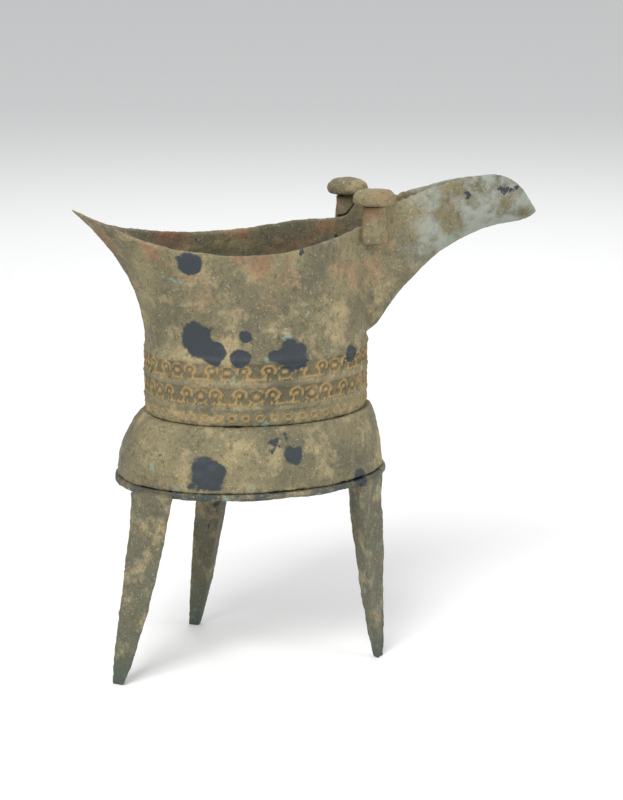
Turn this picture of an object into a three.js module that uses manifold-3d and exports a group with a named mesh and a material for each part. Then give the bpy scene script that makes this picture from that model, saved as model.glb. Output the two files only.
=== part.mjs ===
// Early bronze jue: a tripod wine vessel with a long spout, a pointed tail,
// two capped posts at the spout root, a strap handle and three blade legs.
// Millimetres, +Z up, spout towards +X, handle towards +Y.
import * as THREE from 'three';
import { mergeVertices } from 'three/addons/utils/BufferGeometryUtils.js';
import Module from 'manifold-3d';

const wasm = await Module();
wasm.setup();

// Driving dimensions
const wall = 2.2;               // thickness of the cast wall
const fitGap = 0.3;             // clearance round posts and handle ends
const legHeight = 59.8;         // ground to the underside of the base plate
const plateThickness = 2.2;
const shoulderHeight = 82.6;    // top of the skirt, where the waist stands on it
const neckHeight = 105;         // top of the straight waist

const skirtCentre = -0.7;
const skirtLength = 45.2;       // half-lengths and half-widths of the oval plan
const skirtWidth = 35.2;
const plateOverhang = 0.8;
const ledge = 1.4;              // step from the waist out to the skirt

const frontReach = 38.7;        // waist and mouth ahead of the body axis
const waistBack = 35.8;
const waistWidth = 29.5;
const mouthWidth = 25.3;
const mouthHeight = 138;        // lowest level of the rim
const waistCentre = 1.45;
const mouthCentre = -8;
const tailReach = 62.6;
const tailHeight = 153.2;

const stringLevels = [88.6, 96.6, 104.3];
const stringRelief = 0.75;
const stringSpread = 0.8;

const spoutReach = 103;
const spoutRoot = 41;
const spoutWidth = 8.2;
const spoutRootFlare = 3.2;
const keelTip = 139;
const keelDrop = 34;
const spoutRoll = 0.19;         // fall of the spout rim per mm towards the handle side
const tipRounding = 16;

const postPlace = 38.5;
const postSpread = 12;
const postTop = 149.4;
const capRadius = 6.9;
const capHeight = 5.8;

const handlePlace = -2;
const handleWidth = 9;
const handleThickness = 3.4;
const handleReach = 47;
const handleTop = 114;
const handleFoot = 68;

const legs = [
  { name: 'leg_tail_side', root: [-39.5, -17.5], foot: [-55, -23.7], width: 14.5, tipWidth: 4.4 },
  { name: 'leg_spout_side', root: [31.5, -20.5], foot: [34.5, -26.6], width: 14, tipWidth: 4.2 },
  { name: 'leg_back', root: [-2.7, 27], foot: [-10.4, 29.3], width: 12, tipWidth: 4.6 },
];

const bronze = (color, roughness) =>
  new THREE.MeshStandardMaterial({ color, roughness, metalness: 0.25 });
const encrusted = bronze('#8a7a58', 0.85);
const smooth = bronze('#6d6a55', 0.7);
const edgeDark = bronze('#39433f', 0.6);

const mix = (a, b, t) => a + (b - a) * t;
const step = (from, to, value) => THREE.MathUtils.smoothstep(value, from, to);

// A closed body through rings of points that all have the same count.
function loft(rings) {
  const count = rings[0].length;
  const positions = rings.flat().flatMap((p) => [p.x, p.y, p.z]);
  const triangles = [];
  for (let r = 0; r + 1 < rings.length; r++) {
    for (let i = 0; i < count; i++) {
      const a = r * count + i;
      const b = r * count + ((i + 1) % count);
      triangles.push(a, b, b + count, a, b + count, a + count);
    }
  }
  for (const r of [0, rings.length - 1]) {
    const centre = rings[r].reduce((sum, p) => sum.add(p), new THREE.Vector3()).divideScalar(count);
    const middle = positions.length / 3;
    positions.push(centre.x, centre.y, centre.z);
    for (let i = 0; i < count; i++) {
      const a = r * count + i;
      const b = r * count + ((i + 1) % count);
      triangles.push(...(r === 0 ? [b, a, middle] : [a, b, middle]));
    }
  }
  const geometry = new THREE.BufferGeometry();
  geometry.setAttribute('position', new THREE.Float32BufferAttribute(positions, 3));
  geometry.setIndex(triangles);
  return geometry;
}

function solid(source) {
  let geometry = source.clone();
  geometry.deleteAttribute('normal');
  geometry.deleteAttribute('uv');
  geometry = mergeVertices(geometry, 1e-4);
  return new wasm.Manifold(new wasm.Mesh({
    numProp: 3,
    vertProperties: new Float32Array(geometry.attributes.position.array),
    triVerts: new Uint32Array(geometry.index.array),
  }));
}

function geometryOf(body) {
  const { vertProperties, triVerts } = body.getMesh();
  const geometry = new THREE.BufferGeometry();
  geometry.setAttribute('position', new THREE.BufferAttribute(new Float32Array(vertProperties), 3));
  geometry.setIndex(new THREE.BufferAttribute(new Uint32Array(triVerts), 1));
  geometry.computeVertexNormals();
  return geometry;
}

// Oval ring: x runs from back to front of its centre, y by a power curve at the back.
function oval(z, { centre, front, back, width, backPower = 2, backRoot = 2 }, count = 72) {
  return Array.from({ length: count }, (_, i) => {
    const turn = (i / count) * Math.PI * 2;
    const along = Math.cos(turn);
    const [power, root] = along < 0 ? [backPower, backRoot] : [2, 2];
    const across = Math.max(0, 1 - Math.abs(along) ** power) ** (1 / root);
    return new THREE.Vector3(
      centre + (along < 0 ? back : front) * along,
      Math.sign(Math.sin(turn)) * width * across,
      z,
    );
  });
}

// Waist, neck and tail. An inset above zero gives the hollow inside the wall.
function bodyOval(z, inset) {
  const flare = step(neckHeight, mouthHeight, z);
  const rise = THREE.MathUtils.clamp((z - neckHeight) / (tailHeight - neckHeight), 0, 1);
  const centre = mix(waistCentre, mouthCentre, flare);
  const tail = -waistBack - (tailReach - waistBack) * rise ** 2;
  const relief = inset > 0 ? 0 : stringRelief * stringLevels.reduce(
    (sum, level) => sum + Math.exp(-(((z - level) / stringSpread) ** 2)), 0);
  return oval(z, {
    centre,
    front: frontReach - centre - inset + relief,
    back: centre - tail - inset * mix(1, 2.2, flare) + relief,
    width: mix(waistWidth, mouthWidth, flare) - inset + relief,
    backPower: mix(2, 3.2, flare),
    backRoot: mix(2, 1.25, flare),
  });
}

function bodyLevels(bottom, top) {
  const levels = [bottom];
  for (const level of stringLevels) {
    for (const offset of [-1.6, -0.8, -0.4, 0, 0.4, 0.8, 1.6]) levels.push(level + offset);
  }
  for (let z = 109; z < top; z += 4) levels.push(z);
  return [...levels, top];
}

// Spout: a deep rounded channel whose keel climbs from the neck to the tip.
function spoutSolid(inset, top) {
  const tip = spoutReach - inset * 1.3;
  const stations = [];
  for (let k = 0; k <= 26; k++) {
    const x = mix(24, tip, 1 - (1 - k / 26) ** 1.25);
    const run = THREE.MathUtils.clamp((x - spoutRoot) / (spoutReach - 3 - spoutRoot), 0, 1);
    const toTip = Math.max(0, (x - (tip - tipRounding)) / tipRounding);
    const half = (spoutWidth + spoutRootFlare * Math.exp(-Math.max(0, x - postPlace) / 9) - inset)
      * Math.sqrt(Math.max(0.012, 1 - toTip ** 2));
    const keel = keelTip - keelDrop * (1 - run) ** 2.4 + inset + 3.5 * toTip ** 4;
    const bowl = Math.min(1.5 * half, 12);
    const ring = [];
    for (let i = 0; i <= 16; i++) {
      const turn = (i / 16 - 0.5) * Math.PI;
      ring.push(new THREE.Vector3(x, half * Math.sin(turn), keel + bowl * (1 - Math.cos(turn))));
    }
    ring.push(new THREE.Vector3(x, half, top), new THREE.Vector3(x, -half, top));
    stations.push(ring);
  }
  return solid(loft(stations));
}

// Everything above the rim line, which dips at the mouth and rises to tail and spout.
function aboveRim(lift) {
  const line = new THREE.SplineCurve([
    [-70, 157], [-62.6, 153.2], [-50, 146.6], [-38, 142.1], [-24, 139.4], [-8, 137.8],
    [6, 138.4], [20, 140.6], [33, 142.2], [37.5, 143.4], [41, 147.4], [48, 149.4], [62, 152.4],
    [75, 154.8], [83, 155.2], [89.5, 153.4], [94.5, 149.6], [98, 145.4], [101, 142.6], [108, 139],
  ].map(([x, z]) => new THREE.Vector2(x, z + lift)));
  const shape = new THREE.Shape([
    ...line.getPoints(90), new THREE.Vector2(108, 190), new THREE.Vector2(-70, 190),
  ]);
  const geometry = new THREE.ExtrudeGeometry(shape, { depth: 120, bevelEnabled: false });
  geometry.rotateX(Math.PI / 2);
  geometry.translate(0, 60, 0);
  const place = geometry.attributes.position;
  for (let i = 0; i < place.count; i++) {
    const roll = spoutRoll * step(40, 60, place.getX(i)) * place.getY(i);
    if (place.getZ(i) < 180) place.setZ(i, place.getZ(i) - roll);
  }
  return solid(geometry);
}

function cupShell(grow) {
  const outer = solid(loft(bodyLevels(shoulderHeight, 170).map((z) => bodyOval(z, -grow))))
    .add(spoutSolid(-grow, 170));
  const inner = solid(loft([80, 95, ...bodyLevels(shoulderHeight, 171).filter((z) => z > 103)]
    .map((z) => bodyOval(z, wall + grow)))).add(spoutSolid(wall + grow, 171));
  return outer.subtract(inner).subtract(aboveRim(grow));
}

function skirtRing(z, inset) {
  const rise = (z - legHeight - plateThickness) / (shoulderHeight - legHeight - plateThickness);
  const close = THREE.MathUtils.clamp(rise, 0, 1) ** 3.2;
  const centre = mix(skirtCentre, waistCentre, close);
  const half = mix(skirtLength - 1.6 * rise, frontReach - waistCentre + ledge, close) - inset;
  const width = mix(skirtWidth - 1.2 * rise, waistWidth + ledge, close) - inset;
  return oval(z, { centre, front: half, back: half, width });
}

function skirt() {
  const foot = legHeight + plateThickness;
  const levels = [0, 0.2, 0.4, 0.55, 0.68, 0.78, 0.86, 0.93, 1]
    .map((t) => mix(foot, shoulderHeight, t));
  const outer = solid(loft(levels.map((z) => skirtRing(z, 0))));
  const inner = solid(loft([foot - 1, ...levels.slice(1, -1), shoulderHeight + 1]
    .map((z) => skirtRing(z, wall + ledge * step(foot, shoulderHeight, z)))));
  return outer.subtract(inner);
}

function basePlate() {
  const shape = new THREE.Shape();
  shape.absellipse(skirtCentre, 0, skirtLength + plateOverhang, skirtWidth + plateOverhang,
    0, Math.PI * 2);
  const geometry = new THREE.ExtrudeGeometry(shape,
    { depth: plateThickness, bevelEnabled: false, curveSegments: 72 });
  geometry.translate(0, 0, legHeight);
  return geometry;
}

// Blade leg: three-sided, its wide face outward and its ridge inward, tapering to a blunt tip.
function leg({ root, foot, width, tipWidth }) {
  const outward = new THREE.Vector2(
    (root[0] - skirtCentre) / skirtLength ** 2, root[1] / skirtWidth ** 2).normalize();
  const side = new THREE.Vector2(-outward.y, outward.x);
  const section = [
    [0.42, -1], [0.5, -0.86], [0.4, 0], [0.5, 0.86], [0.42, 1],
    [0.3, 0.98], [-0.74, 0.14], [-0.8, 0], [-0.74, -0.14], [0.3, -0.98],
  ];
  const rings = [];
  for (let k = 0; k <= 14; k++) {
    const down = 1 - k / 14;
    const half = mix(tipWidth, width, (1 - down ** 2.1)) / 2;
    const sweep = down ** 1.25;
    const x = mix(root[0], foot[0], sweep);
    const y = mix(root[1], foot[1], sweep);
    rings.push(section.map(([out, across]) => new THREE.Vector3(
      x + (outward.x * out + side.x * across) * half,
      y + (outward.y * out + side.y * across) * half,
      legHeight * (1 - down),
    )));
  }
  return loft(rings);
}

function handle(cutter) {
  const path = new THREE.SplineCurve([
    [waistWidth - 5, handleTop], [waistWidth + 6, handleTop + 1.5], [handleReach - 3.5, handleTop - 7],
    [handleReach - handleThickness / 2, 94], [handleReach - 4.5, handleFoot + 9],
    [skirtWidth + 1, handleFoot + 1], [skirtWidth - 3, handleFoot],
  ].map(([y, z]) => new THREE.Vector2(y, z)));
  const rings = [];
  for (let k = 0; k <= 36; k++) {
    const { x: y, y: z } = path.getPoint(k / 36);
    const tangent = path.getTangent(k / 36);
    const normal = new THREE.Vector2(tangent.y, -tangent.x);
    const half = handleWidth / 2;
    const thick = handleThickness / 2;
    rings.push([
      [-half, -0.7], [-0.8 * half, -1], [0.8 * half, -1], [half, -0.7],
      [half, 0.6], [0.7 * half, 0.95], [0, 1], [-0.7 * half, 0.95], [-half, 0.6],
    ].map(([x, out]) => new THREE.Vector3(
      handlePlace + x, y + normal.x * out * thick, z + normal.y * out * thick)));
  }
  return solid(loft(rings)).subtract(cutter);
}

// Post: a stout stem that stands astride the rim and flares down the outside of the wall.
function post(side, cutter) {
  const rings = [];
  for (const [z, halfX, halfY, shift] of [
    [137, 4.4, 1.9, 0.9], [140, 4.6, 2.7, 0.5], [143.5, 4.2, 3, 0], [147, 3.8, 2.9, 0], [postTop, 4, 3.2, 0],
  ]) {
    rings.push(Array.from({ length: 20 }, (_, i) => {
      const turn = (i / 20) * Math.PI * 2;
      return new THREE.Vector3(
        postPlace + halfX * Math.cos(turn), side * (postSpread + shift) + halfY * Math.sin(turn), z);
    }));
  }
  return solid(loft(rings)).subtract(cutter);
}

function cap(side) {
  const profile = [
    [0, 0], [0.42, 0], [0.5, 0.12], [0.86, 0.09], [0.97, 0.22], [1, 0.42],
    [0.93, 0.68], [0.72, 0.88], [0.4, 0.98], [0, 1],
  ].map(([r, h]) => new THREE.Vector2(r * capRadius, h * capHeight));
  const geometry = new THREE.LatheGeometry(profile, 32);
  geometry.rotateX(Math.PI / 2);
  geometry.translate(postPlace, side * postSpread, postTop);
  return geometry;
}

const group = new THREE.Group();
group.name = 'bronze_jue';
const addPiece = (name, geometry, material) => {
  const mesh = new THREE.Mesh(geometry, material);
  mesh.name = name;
  group.add(mesh);
};

const cup = cupShell(0);
const clearShell = cupShell(fitGap);
const skirtBody = skirt();
const skirtClear = solid(loft([legHeight, 66, 70, 74, 77, 80, shoulderHeight + fitGap]
  .map((z) => skirtRing(z, -fitGap))));
const neckClear = solid(loft([80, 88, 96, 104, 109, 113, 117, 121]
  .map((z) => bodyOval(z, -fitGap))));

addPiece('cup_body', geometryOf(cup), encrusted);
addPiece('lower_body', geometryOf(skirtBody), encrusted);
addPiece('base_plate', basePlate(), edgeDark);
for (const spec of legs) addPiece(spec.name, leg(spec), smooth);
addPiece('handle', geometryOf(handle(skirtClear.add(neckClear))), smooth);
for (const [place, side] of [['front', -1], ['back', 1]]) {
  addPiece(`post_${place}`, geometryOf(post(side, clearShell)), encrusted);
  addPiece(`cap_${place}`, cap(side), encrusted);
}

// The origin is the middle of the bounding box, on the ground.
const box = new THREE.Box3().setFromObject(group);
const middle = box.getCenter(new THREE.Vector3());
for (const mesh of group.children) mesh.geometry.translate(-middle.x, -middle.y, -box.min.z);

export default group;
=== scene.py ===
# Early bronze jue with a corroded patina: a tripod wine vessel with a long spout,
# a pointed tail, two capped posts, a strap handle and three blade legs.
import math

import bmesh
import bpy
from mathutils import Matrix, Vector, noise


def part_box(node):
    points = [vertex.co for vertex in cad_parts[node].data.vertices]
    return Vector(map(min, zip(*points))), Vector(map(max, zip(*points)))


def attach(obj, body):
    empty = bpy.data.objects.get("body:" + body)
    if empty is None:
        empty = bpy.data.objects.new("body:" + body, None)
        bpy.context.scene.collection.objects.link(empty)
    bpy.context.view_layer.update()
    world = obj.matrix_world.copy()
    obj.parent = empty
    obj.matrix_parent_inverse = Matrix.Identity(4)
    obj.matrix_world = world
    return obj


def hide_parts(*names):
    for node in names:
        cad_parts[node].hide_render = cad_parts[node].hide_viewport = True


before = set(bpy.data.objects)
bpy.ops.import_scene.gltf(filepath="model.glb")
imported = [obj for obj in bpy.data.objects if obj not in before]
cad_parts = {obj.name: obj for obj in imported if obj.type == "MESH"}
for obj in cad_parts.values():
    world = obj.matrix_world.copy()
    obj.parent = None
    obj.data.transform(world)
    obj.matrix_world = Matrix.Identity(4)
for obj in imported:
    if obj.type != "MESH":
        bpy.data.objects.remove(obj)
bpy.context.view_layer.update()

mm = 0.001
plateLow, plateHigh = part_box("base_plate")
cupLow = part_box("cup_body")[0]
plateOffset = 0.7 * mm      # the plate's middle lies this far behind the body axis
bodyAxis = Vector(((plateLow.x + plateHigh.x) / 2 + plateOffset,
                   (plateLow.y + plateHigh.y) / 2, 0))

# The waist: levels above the ground, and the half-lengths of its oval plan
shoulderLevel = cupLow.z
stringLevels = [88.6 * mm, 96.6 * mm, 104.3 * mm]
waistHalf = Vector((37.25 * mm, 29.5 * mm))
waistMiddle = 1.45 * mm

# Colours seen on the vessel, from 0 to 255
palette = {
    "crust": (132, 122, 90), "worn": (98, 98, 80), "edge": (52, 62, 62), "olive": (96, 92, 72),
    "tan": (166, 150, 112), "umber": (66, 64, 52), "chalk": (198, 188, 160), "rust": (122, 78, 56),
    "ash": (148, 158, 152), "turquoise": (122, 158, 146), "ochre": (164, 132, 76),
    "recess": (70, 66, 50), "slate": (40, 48, 52), "tip": (58, 74, 66),
}
# Each mottling's noise scale, detail and roughness
mottle = {
    "broad": (38, 5, 0.6), "middle": (120, 7, 0.65), "grain": (620, 6, 0.7),
    "speck": (1500, 3, 0.6), "rust": (60, 5, 0.6), "turquoise": (210, 4, 0.6),
    "wobble": (150, 5, 0.6), "loose": (95, 6, 0.62),
}
# Where the red-brown, the pale spout and the green leg tips start and how far they take to show
rust = {"level": 118 * mm, "run": 18 * mm}
paleSpout = {"ahead": 46 * mm, "run": 14 * mm, "level": 125 * mm, "rise": 9 * mm}
tipStain = 20 * mm
# Dark flakes where the crust has come off, as (x, y, z, radius) from the body axis, in mm
flakes = [
    (-26, -20, 111, 6.5), (-21, -23, 107, 4.5), (-14, -27, 105.5, 3.5), (-12, -27, 112, 2.6),
    (-3, -29, 105.5, 2.4), (3, -29, 105, 6.2), (26, -22, 103, 3), (22, -19, 120, 2),
    (-30, -24, 136, 5), (2, -35, 74, 4), (-27, -30, 69, 7), (27, -28, 62.5, 3.5),
]
flakeEdge = (1.0, 0.82)     # share of the radius where a flake starts and is full
flakeWobble = 1.6


# A shader socket that takes part in Python expressions
class Wire:
    def __init__(self, graph, socket):
        self.graph, self.socket = graph, socket

    def math(self, operation, *others):
        return self.graph.node("ShaderNodeMath", {"operation": operation}, [self, *others])

    def __add__(self, other): return self.math("ADD", other)
    def __sub__(self, other): return self.math("SUBTRACT", other)
    def __mul__(self, other): return self.math("MULTIPLY", other)
    def __rsub__(self, other): return self.math("MULTIPLY", -1.0) + other
    __radd__, __rmul__ = __add__, __mul__

    def clamped(self, low, high):
        return self.graph.node("ShaderNodeMapRange", {"clamp": True}, [self, low, high, 0.0, 1.0])


class Graph:
    def __init__(self, name):
        self.material = bpy.data.materials.new(name)
        self.material.use_nodes = True
        self.nodes = self.material.node_tree.nodes
        self.links = self.material.node_tree.links
        self.surface = next(n for n in self.nodes if n.type == "BSDF_PRINCIPLED")

    def put(self, socket, value):
        if isinstance(value, Wire):
            self.links.new(value.socket, socket)
        else:
            socket.default_value = value

    def node(self, kind, settings=None, inputs=(), output=0):
        made = self.nodes.new(kind)
        for key, value in (settings or {}).items():
            setattr(made, key, value)
        pairs = inputs.items() if isinstance(inputs, dict) else enumerate(inputs)
        for key, value in pairs:
            self.put(made.inputs[key], value)
        return Wire(self, made.outputs[output])

    def noise(self, place, name):
        scale, detail, roughness = mottle[name]
        return self.node("ShaderNodeTexNoise", {}, {
            "Vector": place, "Scale": scale, "Detail": detail, "Roughness": roughness})

    def blend(self, amount, first, second):
        return self.node("ShaderNodeMix", {"data_type": "RGBA"}, {0: amount, 6: first, 7: second}, 2)

    def attribute(self, name):
        return self.node("ShaderNodeAttribute", {"attribute_name": name}, output="Fac")

    def spot(self, place, centre, radius, wobble):
        away = self.node("ShaderNodeVectorMath", {"operation": "DISTANCE"}, [place, centre], "Value")
        return (away * (1 / radius) + (wobble - 0.5) * flakeWobble).clamped(*flakeEdge)


def tone(name):
    def linear(c):
        c /= 255
        return c / 12.92 if c < 0.04045 else ((c + 0.055) / 1.055) ** 2.4
    return (*map(linear, palette[name]), 1.0)


# Crust, stains and bare flakes over the bronze, laid one over the other
def patina(name, ground, smoothness=0.0):
    g = Graph(name)
    place = g.node("ShaderNodeTexCoord", output="Object")
    x = g.node("ShaderNodeSeparateXYZ", {}, [place])
    z = g.node("ShaderNodeSeparateXYZ", {}, [place], 2)
    broad, middle, grain, speck = (g.noise(place, n) for n in ("broad", "middle", "grain", "speck"))
    wobble = g.noise(place, "wobble")
    bare = g.noise(place, "loose").clamped(0.655, 0.675)
    for fx, fy, fz, radius in flakes:
        centre = (bodyAxis.x + fx * mm, bodyAxis.y + fy * mm, fz * mm)
        bare = bare.math("MAXIMUM", g.spot(place, centre, radius * mm, wobble))
    red = (z - rust["level"]).clamped(0.0, rust["run"]) * g.noise(place, "rust").clamped(0.5, 0.62)
    spout = ((x - (bodyAxis.x + paleSpout["ahead"])).clamped(0.0, paleSpout["run"])
             * (z - paleSpout["level"]).clamped(0.0, paleSpout["rise"]))

    base = g.blend(broad.clamped(0.38, 0.62), tone("olive"), tone(ground))
    for mask, strength, shade in (
        (middle.clamped(0.5, 0.66), 0.8, "tan"),
        (grain.clamped(0.5, 0.7), 0.75, "umber"),
        (speck.clamped(0.6, 0.72), 0.55, "chalk"),
        (red, 0.6, "rust"),
        (spout * middle.clamped(0.4, 0.56), 0.72, "ash"),
        (g.noise(place, "turquoise").clamped(0.64, 0.7), 0.5, "turquoise"),
        (g.attribute("relief").clamped(0.25, 0.8), 0.72, "ochre"),
        (g.attribute("ground"), 0.5, "recess"),
        (bare, 1.0, "slate"),
        (1.0 - z.clamped(0.0, tipStain), 0.75, "tip"),
    ):
        base = g.blend(mask * strength, base, tone(shade))
    g.put(g.surface.inputs["Base Color"], base)
    g.put(g.surface.inputs["Roughness"], 0.86 - bare * 0.3 - smoothness)
    g.surface.inputs["Metallic"].default_value = 0.12
    height = middle * 0.5 + grain * 0.55 + speck * 0.18 - bare * 0.5
    bump = {"Height": height, "Strength": 0.75, "Distance": 0.7 * mm}
    g.put(g.surface.inputs["Normal"], g.node("ShaderNodeBump", {}, bump, "Normal"))
    return g.material


# The scroll band, in mm: a repeated motif of an eye between hooks, above a row of small rings
band = {
    "cell": 17.2, "margin": 1.1, "edge": 0.3, "relief": 0.42, "recess": 0.12,
    "eye": 1.15, "eyeFlat": 1.25,
    "ringPitch": 4.2, "ringRadius": 1.05, "ringWidth": 0.42, "ringMargin": 1.0,
}
# Bars round the eye, then mirrored hooks: centre along and up, radius, width, from and to degrees
eyeBars = [(0, 0, 2.3, 0.42, 200, 340), (0, 0, 2.3, 0.42, 20, 160)]
hookBars = [
    (4.9, 0.5, 1.9, 0.55, 330, 210), (4.9, 0.5, 0.3, 0.55, 0, 359.9),
    (3.2, -2.2, 1.3, 0.5, 160, 20), (7.4, -0.9, 1.5, 0.5, 90, 320),
]
straightBar = {"start": 5.2, "stop": 8.2, "level": -2.35, "width": 0.5}


def raised(inside):
    return max(0.0, min(1.0, inside / band["edge"]))


# 1 on a curved bar of the ornament, falling to 0 at its sides
def arc(px, py, bar):
    cx, cy, radius, width, start, stop = bar
    turn = math.degrees(math.atan2(py - cy, px - cx)) % 360
    inside = start <= turn <= stop if start < stop else turn >= start or turn <= stop
    return raised(width - abs(math.hypot(px - cx, py - cy) - radius)) if inside else 0.0


# How far a point of the waist is raised by the scroll band, and sunk by its ground
def ornament(place):
    z = place.z / mm
    low, middle, high = (level / mm for level in stringLevels)
    shoulder = shoulderLevel / mm
    if not shoulder + band["ringMargin"] < z < high - band["margin"]:
        return 0.0, 0.0
    around = math.atan2((place.y - bodyAxis.y) / waistHalf.y,
                        (place.x - bodyAxis.x - waistMiddle) / waistHalf.x)
    along = (around + math.pi) * (waistHalf.x + waistHalf.y) / 2 / mm
    if z < low - band["ringMargin"]:
        pitch = band["ringPitch"]
        ring = (0, (low + shoulder) / 2, band["ringRadius"], band["ringWidth"], 0, 359.9)
        return arc(along % pitch - pitch / 2, z, ring), 0.0
    bottom, top = (middle, high) if z > middle else (low, middle)
    if not bottom + band["margin"] < z < top - band["margin"]:
        return 0.0, 0.0
    cell = band["cell"]
    px = (along + (cell / 2 if z > middle else 0)) % cell - cell / 2
    py = z - (bottom + top) / 2
    bars = [arc(px, py, bar) for bar in eyeBars] + [arc(abs(px), py, bar) for bar in hookBars]
    bars.append(raised(band["eye"] - math.hypot(px, py * band["eyeFlat"])))
    if straightBar["start"] < abs(px) < straightBar["stop"]:
        bars.append(raised(straightBar["width"] - abs(py - straightBar["level"])))
    return max(bars), 1.0 - max(bars)


# A leg runs up into the plate and widens there, in mm
legRoot = {"lift": 1.6, "flareHeight": 9.0, "flare": 1.0}


# Lumps and pits of the corroded surface, in mm
def unevenness(place):
    lumps = (noise.fractal(place * 90, 0.9, 2.1, 4) * 0.32
             + noise.fractal(place * 420, 0.8, 2.2, 3) * 0.12)
    pits = min(0.0, noise.noise(place * 260) + 0.35) * 0.5
    return lumps + pits


# A merged copy of a CAD piece in even cells, its edges worn soft
def softened(node, cell):
    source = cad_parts[node]
    piece = bpy.data.objects.new("cast_" + node, source.data.copy())
    bpy.context.scene.collection.objects.link(piece)
    mesh = bmesh.new()
    mesh.from_mesh(piece.data)
    bmesh.ops.remove_doubles(mesh, verts=mesh.verts, dist=1e-6)
    mesh.to_mesh(piece.data)
    mesh.free()
    piece.data.materials.clear()
    remesh = piece.modifiers.new("cells", "REMESH")
    remesh.mode = "VOXEL"
    remesh.voxel_size = cell * mm
    wear = piece.modifiers.new("wear", "SMOOTH")
    wear.factor, wear.iterations = 0.5, 4
    ready = piece.evaluated_get(bpy.context.evaluated_depsgraph_get())
    finished = bpy.data.meshes.new_from_object(ready)
    piece.modifiers.clear()
    piece.data = finished
    return piece


# A CAD piece as an uneven, corroded casting
def cast(node, material, cell, rough):
    piece = softened(node, cell)
    finished = piece.data
    low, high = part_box(node)
    isLeg = node.startswith("leg_")
    if isLeg:
        high = high + Vector((0, 0, legRoot["lift"] * mm))
    relief = finished.attributes.new("relief", "FLOAT", "POINT")
    ground = finished.attributes.new("ground", "FLOAT", "POINT")
    normals = [v.normal.copy() for v in finished.vertices]
    for v, normal in zip(finished.vertices, normals):
        place = v.co.copy()
        push = unevenness(place) * rough
        outward = Vector((place.x - bodyAxis.x, place.y - bodyAxis.y, 0))
        if node == "cup_body" and outward.dot(normal) > 0:
            height, recess = ornament(place)
            relief.data[v.index].value = height
            ground.data[v.index].value = recess
            push += height * band["relief"] - recess * band["recess"]
        moved = place + normal * push * mm
        if isLeg:
            near = max(0.0, 1 - (plateLow.z - place.z) / (legRoot["flareHeight"] * mm))
            moved += Vector((normal.x, normal.y, 0)) * near ** 2 * legRoot["flare"] * mm
            moved.z += near * legRoot["lift"] * mm
        v.co = Vector(tuple(max(low[i], min(high[i], moved[i])) for i in range(3)))
    finished.materials.append(material)
    for face in finished.polygons:
        face.use_smooth = True
    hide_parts(node)
    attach(piece, "root")
    print("cast", node, len(finished.vertices))


crust = patina("crusted bronze", "crust")
worn = patina("worn bronze", "worn", 0.08)
darkEdge = patina("dark edge", "edge", 0.1)

# Each piece's material, slot, cell size in mm and how rough its casting is
for node, material, slotName, cell, rough in (
    ("cup_body", crust, "encrusted_bronze", 0.62, 1.0),
    ("lower_body", crust, "encrusted_bronze", 0.7, 1.5),
    ("base_plate", darkEdge, "dark_edge", 0.6, 1.2),
    ("leg_tail_side", worn, "smooth_bronze", 0.5, 1.4),
    ("leg_spout_side", worn, "smooth_bronze", 0.5, 1.4),
    ("leg_back", worn, "smooth_bronze", 0.5, 0.8),
    ("handle", worn, "smooth_bronze", 0.45, 0.9),
    ("post_front", crust, "encrusted_bronze", 0.35, 1.0),
    ("post_back", crust, "encrusted_bronze", 0.35, 1.0),
    ("cap_front", crust, "encrusted_bronze", 0.35, 1.4),
    ("cap_back", crust, "encrusted_bronze", 0.35, 1.4),
):
    cast(node, material, cell, rough)

# The floor is 6 m wide, and the lamps are in metres and watts
studio = {"floor": 6, "floorColour": (0.86, 0.86, 0.85, 1), "floorRoughness": 0.9,
          "worldColour": (0.97, 0.98, 1.0, 1), "worldStrength": 0.62, "aim": (0, 0, 0.09)}
lamps = {
    "key": {"place": (-0.5, -0.55, 0.85), "size": 0.5, "power": 9.5},
    "fill": {"place": (0.75, -0.6, 0.45), "size": 0.7, "power": 3.4},
    "rim": {"place": (0.3, 0.7, 0.7), "size": 0.5, "power": 2.6},
}
# The camera's place and target from the body axis on the ground, in mm
camera = {"place": (-342.0, -939.7, 317.0), "target": (21.0, 0.0, 83.0),
          "lens": 139.5, "sensor": 36}


def makeStage():
    bpy.ops.mesh.primitive_plane_add(size=studio["floor"])
    floor = bpy.context.object
    floor.name = "floor"
    g = Graph("pale floor")
    g.surface.inputs["Base Color"].default_value = studio["floorColour"]
    g.surface.inputs["Roughness"].default_value = studio["floorRoughness"]
    floor.data.materials.append(g.material)
    world = bpy.data.worlds.new("studio")
    bpy.context.scene.world = world
    world.use_nodes = True
    back = world.node_tree.nodes["Background"]
    back.inputs["Color"].default_value = studio["worldColour"]
    back.inputs["Strength"].default_value = studio["worldStrength"]


def aimed(holder, place, target):
    bpy.context.scene.collection.objects.link(holder)
    holder.location = place
    holder.rotation_euler = (Vector(target) - Vector(place)).to_track_quat("-Z", "Y").to_euler()


def addLamp(name, lamp):
    area = bpy.data.lights.new(name, "AREA")
    area.size, area.energy = lamp["size"], lamp["power"]
    holder = bpy.data.objects.new(name, area)
    aimed(holder, lamp["place"], studio["aim"])


def makeCamera():
    lens = bpy.data.cameras.new("camera")
    lens.sensor_width, lens.lens = camera["sensor"], camera["lens"]
    holder = bpy.data.objects.new("camera", lens)
    aimed(holder, Vector(camera["place"]) * mm + bodyAxis, Vector(camera["target"]) * mm + bodyAxis)
    bpy.context.scene.camera = holder


makeStage()
for lampName, lamp in lamps.items():
    addLamp(lampName, lamp)
makeCamera()
bpy.context.scene.view_settings.view_transform = "Standard"
print("stage, lamps and camera")
